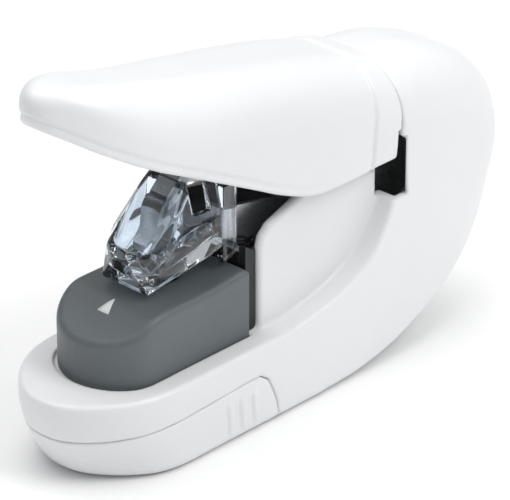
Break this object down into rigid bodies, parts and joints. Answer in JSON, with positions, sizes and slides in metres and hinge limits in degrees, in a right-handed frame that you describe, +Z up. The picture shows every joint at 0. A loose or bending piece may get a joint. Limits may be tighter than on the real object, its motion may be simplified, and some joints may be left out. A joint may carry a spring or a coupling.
{
  "type": "staple-free stapler",
  "caption": "Hand-squeezed staple-free stapler: sprung wedge lever over a jaw with grey anvil and clear presser, sliding bottom cover.",
  "frame": {"origin": "on the resting surface, under the middle of the bounding box", "axes": "+X from the jaw to the rear, +Z up, Y across; the nose of the jaw is at -X"},
  "size_m": [0.1392, 0.0372, 0.0912],
  "materials": {
    "white_abs": "satin",
    "white_trim": "satin",
    "grey_abs": "satin",
    "black_plastic": "satin",
    "clear_plastic": "clear",
    "steel": "brushed",
    "spring_steel": "bright",
    "white_mark": "matt"
  },
  "bodies": {
    "body": {"body_shell": "white_abs", "chassis": "steel", "main_pivot_pin": "steel", "head_pivot_pin": "steel", "head_pin_clips": "spring_steel", "lever_return_spring": "spring_steel", "presser_spring": "spring_steel", "anvil_cover": "grey_abs", "die_block": "steel", "fold_lever_pin": "steel", "fold_spring": "spring_steel", "position_mark": "white_mark", "throat_stop": "black_plastic", "anvil_screws": "steel"},
    "lever": {"lever_shell": "white_abs", "lever_nose_plate": "white_trim", "lever_frame": "steel", "drive_pin": "steel", "drive_pin_clips": "spring_steel", "lever_screws": "steel"},
    "presser": {"clear_head": "clear_plastic", "head_arms": "steel"},
    "punch": {"punch_arm": "steel", "tongue_punch": "steel", "slit_blade": "steel"},
    "fold": {"fold_lever": "steel"},
    "cover": {"bottom_cover": "white_abs"}
  },
  "joints": [
    {"name": "lever_hinge", "type": "hinge", "parent": "body", "child": "lever", "pos_m": [0.048, 0, 0.057], "axis": [0, -1, 0], "range_deg": [0, 12], "stiffness_Nm_per_rad": 1.2, "springref_deg": -20.05, "deforming": ["lever_return_spring"]},
    {"name": "presser_hinge", "type": "hinge", "parent": "body", "child": "presser", "pos_m": [0.021, 0, 0.037], "axis": [0, -1, 0], "range_deg": [0, 1.4], "deforming": ["presser_spring"]},
    {"name": "punch_hinge", "type": "hinge", "parent": "body", "child": "punch", "pos_m": [0.021, 0, 0.037], "axis": [0, -1, 0], "range_deg": [0, 15.65]},
    {"name": "fold_hinge", "type": "hinge", "parent": "body", "child": "fold", "pos_m": [-0.0254, 0, 0.022], "axis": [0, -1, 0], "range_deg": [0, 20]},
    {"name": "cover_slide", "type": "slide", "parent": "body", "child": "cover", "axis": [-0.9988, 0, -0.049], "range_m": [0, 0.07]}
  ],
  "couplings": [
    {"joint": "presser_hinge", "follows": "lever_hinge", "ratio": 0.11667},
    {"joint": "punch_hinge", "follows": "lever_hinge", "ratio": 1.3045},
    {"joint": "fold_hinge", "follows": "lever_hinge", "ratio": 1.6667}
  ]
}
